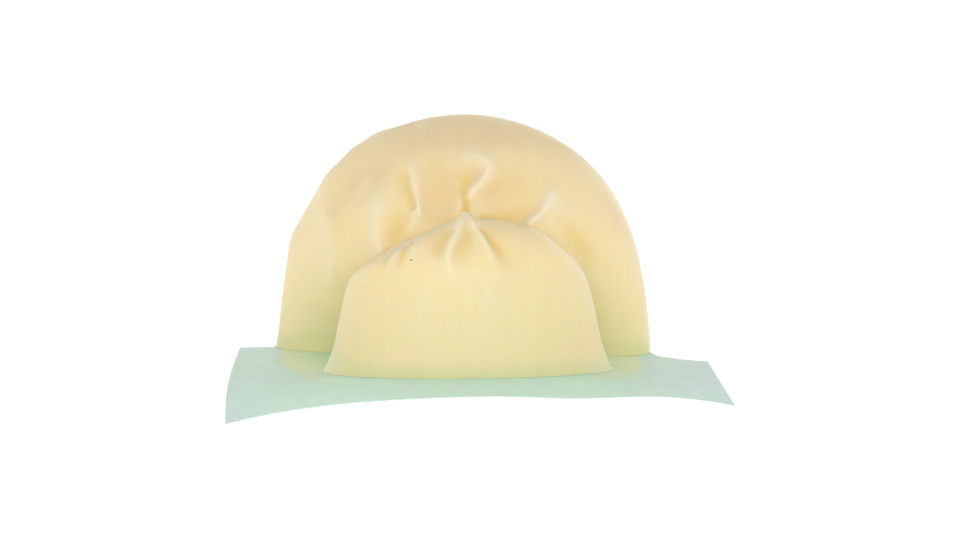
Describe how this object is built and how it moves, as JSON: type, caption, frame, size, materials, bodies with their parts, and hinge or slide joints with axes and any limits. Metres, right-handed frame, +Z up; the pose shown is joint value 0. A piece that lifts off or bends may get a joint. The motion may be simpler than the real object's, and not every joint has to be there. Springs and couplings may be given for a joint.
{
  "type": "half scamorza cheese on its wrapping film",
  "caption": "Pear-shaped cheese cut lengthwise, lying on its cut face, with a pleated knob head, a round body and a thin sheet of film beneath.",
  "frame": {"origin": "on the underside of the film, below the middle of the cheese's body at its widest section", "axes": "+Y from the head to the rear of the body, +X to the right of someone who looks at the head, +Z up"},
  "size_m": [0.1086, 0.1772, 0.0553],
  "materials": {
    "cheese_skin": "smooth moist pale straw skin of a stretched-curd cheese, soft sheen",
    "wrapping_film": "thin glossy translucent green film"
  },
  "bodies": {
    "root": {"scamorza_half": "cheese_skin", "film_sheet": "wrapping_film"}
  },
  "joints": []
}
